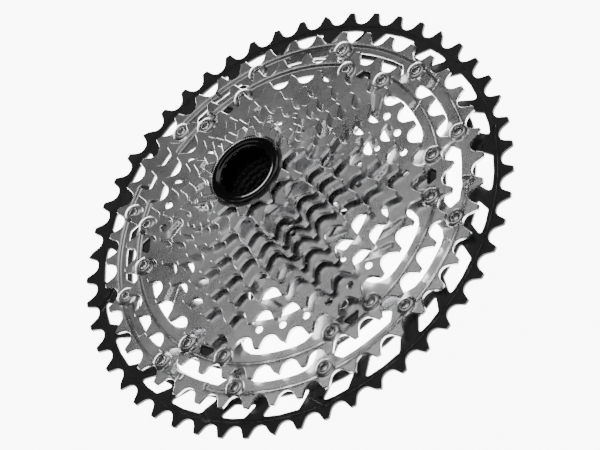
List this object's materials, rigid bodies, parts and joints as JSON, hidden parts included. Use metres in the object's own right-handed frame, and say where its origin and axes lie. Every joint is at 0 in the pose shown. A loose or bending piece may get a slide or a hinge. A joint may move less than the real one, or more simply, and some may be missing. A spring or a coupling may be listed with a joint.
{
  "type": "bicycle cassette sprocket",
  "caption": "Cone of chain sprockets on a splined bore, the largest a black windowed ring riveted to bright steel rings, closed by a screwed lockring.",
  "frame": {"origin": "on the axle, at the back face of the largest sprocket, which the part lies on", "axes": "+Z along the axle from the wheel towards the lockring; X and Y lie in the sprockets' plane, and one tooth of the largest sprocket points close to +X"},
  "size_m": [0.2097, 0.2098, 0.0449],
  "materials": {
    "black_aluminium": "satin black anodised, machined",
    "nickel_steel": "stamped and nickel plated, satin bright",
    "carrier_aluminium": "dark anodised, forged",
    "rivet_steel": "bright rolled heads with a deep dimple",
    "spacer_resin": "moulded, matte",
    "lockring_black": "gloss black anodised",
    "washer_steel": "plain"
  },
  "bodies": {
    "riveted_unit": {"sprocket_51": "black_aluminium", "sprocket_45": "nickel_steel", "sprocket_39": "nickel_steel", "sprocket_33": "nickel_steel", "carrier": "carrier_aluminium", "outer_rivet_01": "rivet_steel", "outer_rivet_02": "rivet_steel", "outer_rivet_03": "rivet_steel", "outer_rivet_04": "rivet_steel", "outer_rivet_05": "rivet_steel", "outer_rivet_06": "rivet_steel", "outer_rivet_07": "rivet_steel", "outer_rivet_08": "rivet_steel", "outer_rivet_09": "rivet_steel", "outer_rivet_10": "rivet_steel", "outer_rivet_11": "rivet_steel", "outer_rivet_12": "rivet_steel", "inner_rivet_01": "rivet_steel", "inner_rivet_02": "rivet_steel", "inner_rivet_03": "rivet_steel", "inner_rivet_04": "rivet_steel", "inner_rivet_05": "rivet_steel", "inner_rivet_06": "rivet_steel", "inner_rivet_07": "rivet_steel", "inner_rivet_08": "rivet_steel", "inner_rivet_09": "rivet_steel", "inner_rivet_10": "rivet_steel", "inner_rivet_11": "rivet_steel", "inner_rivet_12": "rivet_steel", "arm_rivet_01": "rivet_steel", "arm_rivet_02": "rivet_steel", "arm_rivet_03": "rivet_steel", "arm_rivet_04": "rivet_steel", "arm_rivet_05": "rivet_steel", "arm_rivet_06": "rivet_steel", "hub_rivet_01": "rivet_steel", "hub_rivet_02": "rivet_steel", "hub_rivet_03": "rivet_steel", "hub_rivet_04": "rivet_steel", "hub_rivet_05": "rivet_steel", "hub_rivet_06": "rivet_steel"},
    "sprocket_stack": {"sprocket_28": "nickel_steel", "spacer_28": "spacer_resin", "sprocket_24": "nickel_steel", "spacer_24": "spacer_resin", "sprocket_21": "nickel_steel", "spacer_21": "spacer_resin", "sprocket_18": "nickel_steel", "spacer_18": "spacer_resin", "sprocket_16": "nickel_steel"},
    "third_small_sprocket": {"spacer_16": "spacer_resin", "sprocket_14": "nickel_steel"},
    "second_small_sprocket": {"sprocket_12": "nickel_steel"},
    "smallest_sprocket": {"sprocket_10": "nickel_steel"},
    "washer": {"lockring_washer": "washer_steel"},
    "lockring": {"lockring": "lockring_black"}
  },
  "joints": [
    {"name": "stack_lift", "type": "slide", "parent": "riveted_unit", "child": "sprocket_stack", "axis": [0, 0, 1], "range_m": [0, 0.012]},
    {"name": "third_small_lift", "type": "slide", "parent": "sprocket_stack", "child": "third_small_sprocket", "axis": [0, 0, 1], "range_m": [0, 0.008]},
    {"name": "second_small_lift", "type": "slide", "parent": "third_small_sprocket", "child": "second_small_sprocket", "axis": [0, 0, 1], "range_m": [0, 0.008]},
    {"name": "smallest_lift", "type": "slide", "parent": "second_small_sprocket", "child": "smallest_sprocket", "axis": [0, 0, 1], "range_m": [0, 0.008]},
    {"name": "lockring_rise", "type": "slide", "parent": "smallest_sprocket", "child": "washer", "axis": [0, 0, 1], "range_m": [0, 0.0061]},
    {"name": "lockring_turn", "type": "hinge", "parent": "washer", "child": "lockring", "pos_m": [0, 0, 0.0449], "axis": [0, 0, 1], "range_deg": [0, 2160]}
  ],
  "couplings": [
    {"joint": "lockring_rise", "follows": "lockring_turn", "m_per_rad": 0.00015915}
  ]
}
